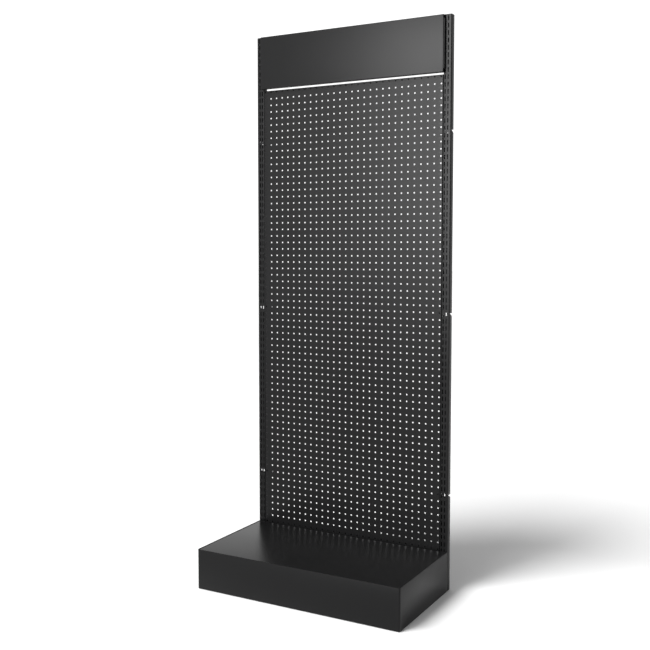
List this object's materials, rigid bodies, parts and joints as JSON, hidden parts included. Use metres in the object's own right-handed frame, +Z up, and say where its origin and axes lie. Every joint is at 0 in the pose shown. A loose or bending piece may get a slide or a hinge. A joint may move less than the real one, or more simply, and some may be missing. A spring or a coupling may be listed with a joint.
{
  "type": "pegboard tool wall",
  "caption": "Free-standing black steel display bay: slotted uprights, tall perforated pegboard back, plain header panel and a low boxed base on levelling feet.",
  "frame": {"origin": "centre of the footprint on the floor, level with the undersides of the foot pads", "axes": "+Z up; +X to the bay's right as seen from its front; -Y is the front, +Y the back"},
  "size_m": [0.8, 0.432, 2.035],
  "materials": {
    "panel_steel": "satin",
    "frame_steel": "satin",
    "cap_plastic": "matte",
    "foot_plastic": "matte",
    "zinc": "satin"
  },
  "bodies": {
    "frame": {"upright_left": "frame_steel", "upright_right": "frame_steel", "post_cap_left": "cap_plastic", "post_cap_right": "cap_plastic", "pegboard_upper": "panel_steel", "pegboard_lower": "panel_steel", "panel_hooks_left": "zinc", "panel_hooks_right": "zinc", "base_skirt": "panel_steel", "base_shoe_left": "frame_steel", "base_shoe_right": "frame_steel", "rear_tie": "frame_steel", "frame_bolts": "zinc", "frame_nuts": "zinc", "skirt_screws": "zinc", "foot_weld_nuts": "zinc"},
    "header": {"header_panel": "panel_steel", "header_bracket_left": "frame_steel", "header_bracket_right": "frame_steel"},
    "deck": {"base_deck": "panel_steel", "deck_stiffener_front": "frame_steel", "deck_stiffener_rear": "frame_steel"},
    "foot_front_left": {"foot_pad_front_left": "foot_plastic", "foot_stem_front_left": "zinc"},
    "foot_front_right": {"foot_pad_front_right": "foot_plastic", "foot_stem_front_right": "zinc"},
    "foot_rear_left": {"foot_pad_rear_left": "foot_plastic", "foot_stem_rear_left": "zinc"},
    "foot_rear_right": {"foot_pad_rear_right": "foot_plastic", "foot_stem_rear_right": "zinc"}
  },
  "joints": [
    {"name": "header_lift", "type": "slide", "parent": "frame", "child": "header", "axis": [0, 0, 1], "range_m": [0, 0.0065]},
    {"name": "deck_lift", "type": "slide", "parent": "frame", "child": "deck", "axis": [0, 0, 1], "range_m": [0, 0.12]},
    {"name": "foot_level_front_left", "type": "slide", "parent": "frame", "child": "foot_front_left", "axis": [0, 0, -1], "range_m": [0, 0.015]},
    {"name": "foot_level_front_right", "type": "slide", "parent": "frame", "child": "foot_front_right", "axis": [0, 0, -1], "range_m": [0, 0.015]},
    {"name": "foot_level_rear_left", "type": "slide", "parent": "frame", "child": "foot_rear_left", "axis": [0, 0, -1], "range_m": [0, 0.015]},
    {"name": "foot_level_rear_right", "type": "slide", "parent": "frame", "child": "foot_rear_right", "axis": [0, 0, -1], "range_m": [0, 0.015]}
  ]
}
